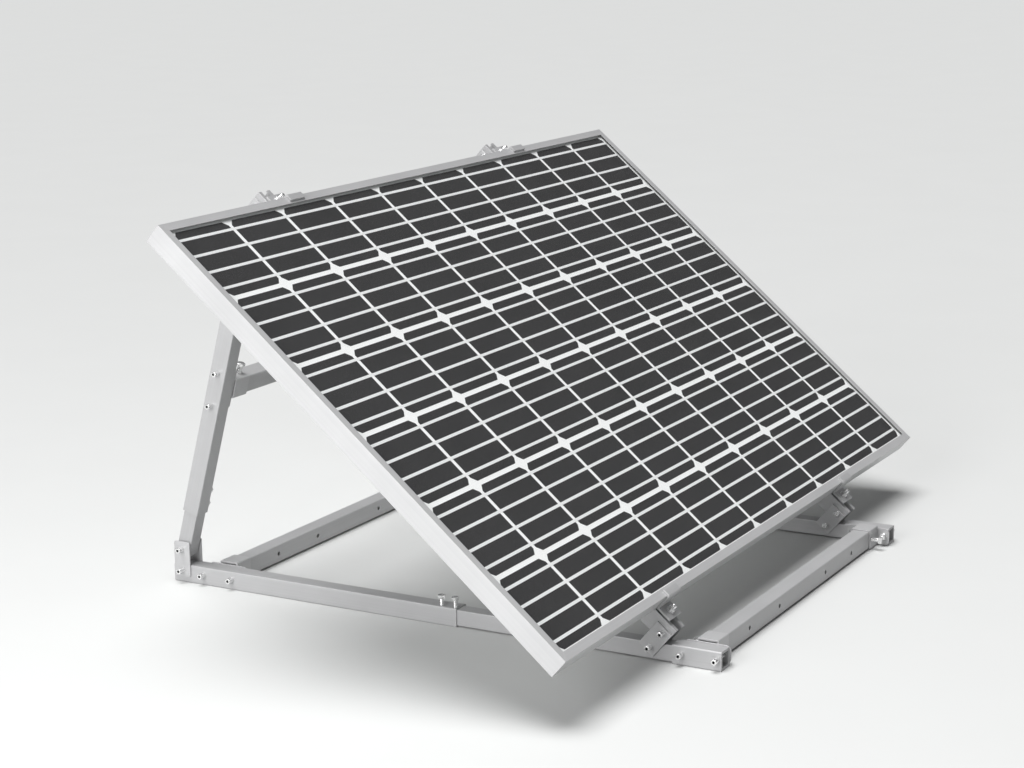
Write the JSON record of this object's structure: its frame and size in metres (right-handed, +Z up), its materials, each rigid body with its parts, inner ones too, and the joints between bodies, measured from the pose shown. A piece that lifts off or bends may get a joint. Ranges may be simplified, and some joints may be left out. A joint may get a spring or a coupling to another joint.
{
  "type": "solar panel",
  "caption": "Framed glass solar module clamped on a pair of slotted rails and carried by an aluminium tilt stand with telescopic rear legs.",
  "frame": {"origin": "on the ground, midway between the two side frames and midway along the base rails", "axes": "+X along the long edge of the module, to the right seen from its front; -Y is the front, where the lower edge of the module is; +Z up"},
  "size_m": [1.64, 1.1501, 0.7674],
  "materials": {
    "anodised_frame": "satin clear anodised",
    "stand_aluminium": "satin extruded",
    "plate_aluminium": "satin",
    "stainless_steel": "bright",
    "solar_glass": "gloss",
    "clear_encapsulant": "clear",
    "cell_silicon": "dark, antireflective",
    "tinned_ribbon": "satin",
    "white_backsheet": "matt white film",
    "black_plastic": "matt moulded",
    "seal_rubber": "matt"
  },
  "bodies": {
    "base": {"left_base_rear_tube": "stand_aluminium", "right_base_rear_tube": "stand_aluminium", "left_base_front_tube": "stand_aluminium", "right_base_front_tube": "stand_aluminium", "front_tube_sleeves": "stand_aluminium", "foot_plates": "plate_aluminium", "foot_pivot_spacers": "stainless_steel", "front_crossbeam": "stand_aluminium", "rear_crossbeam": "stand_aluminium", "front_crossbeam_fittings": "plate_aluminium", "rear_crossbeam_fittings": "plate_aluminium", "crossbeam_bolts": "stainless_steel", "foot_bolts": "stainless_steel", "front_pivot_bolts": "stainless_steel", "base_bolt_washers": "stainless_steel", "base_bolt_nuts": "stainless_steel", "base_lock_screws": "stainless_steel"},
    "panel": {"frame_upper_member": "anodised_frame", "frame_lower_member": "anodised_frame", "frame_left_member": "anodised_frame", "frame_right_member": "anodised_frame", "frame_corner_keys": "anodised_frame", "left_panel_rail": "stand_aluminium", "right_panel_rail": "stand_aluminium", "front_hinge_plates": "plate_aluminium", "upper_hinge_plates": "plate_aluminium", "rail_bolts": "stainless_steel", "rail_bolt_nuts": "stainless_steel", "rail_bolt_washers": "stainless_steel", "front_glass": "solar_glass", "front_encapsulant": "clear_encapsulant", "rear_encapsulant": "clear_encapsulant", "solar_cells": "cell_silicon", "busbar_ribbons": "tinned_ribbon", "string_connectors": "tinned_ribbon", "backsheet": "white_backsheet", "junction_box_base": "black_plastic", "junction_box_lid": "black_plastic", "cable_glands": "black_plastic", "bypass_diodes": "black_plastic", "frame_edge_seal": "seal_rubber", "junction_box_gasket": "seal_rubber"},
    "leg_lower": {"left_leg_lower_tube": "stand_aluminium", "right_leg_lower_tube": "stand_aluminium"},
    "leg_upper": {"left_leg_upper_tube": "stand_aluminium", "right_leg_upper_tube": "stand_aluminium", "leg_crossbeam": "stand_aluminium", "leg_crossbeam_fittings": "plate_aluminium", "leg_bolts": "stainless_steel", "leg_bolt_washers": "stainless_steel", "leg_bolt_nuts": "stainless_steel", "leg_lock_screws": "stainless_steel"},
    "lower_clamps": {"lower_end_clamps": "plate_aluminium", "lower_clamp_bolts": "stainless_steel", "lower_clamp_nuts": "stainless_steel"},
    "upper_clamps": {"upper_end_clamps": "plate_aluminium", "upper_clamp_bolts": "stainless_steel", "upper_clamp_nuts": "stainless_steel"}
  },
  "joints": [
    {"name": "panel_tilt", "type": "hinge", "parent": "base", "child": "panel", "pos_m": [0, -0.44075, 0.025], "axis": [1, 0, 0], "range_deg": [-3, 7]},
    {"name": "leg_swing", "type": "hinge", "parent": "base", "child": "leg_lower", "pos_m": [0, 0.55275, 0.066], "axis": [1, 0, 0], "range_deg": [-2.2, 5]},
    {"name": "leg_extend", "type": "slide", "parent": "leg_lower", "child": "leg_upper", "axis": [0, -0.267, 0.9637], "range_m": [-0.052, 0.12]},
    {"name": "lower_clamp_slide", "type": "slide", "parent": "panel", "child": "lower_clamps", "axis": [0, -0.7638, -0.6455], "range_m": [0, 0.02]},
    {"name": "upper_clamp_slide", "type": "slide", "parent": "panel", "child": "upper_clamps", "axis": [0, 0.7638, 0.6455], "range_m": [0, 0.02]}
  ],
  "couplings": [
    {"joint": "leg_swing", "follows": "panel_tilt", "ratio": 0.6478},
    {"joint": "leg_extend", "follows": "panel_tilt", "m_per_rad": 0.9639}
  ]
}
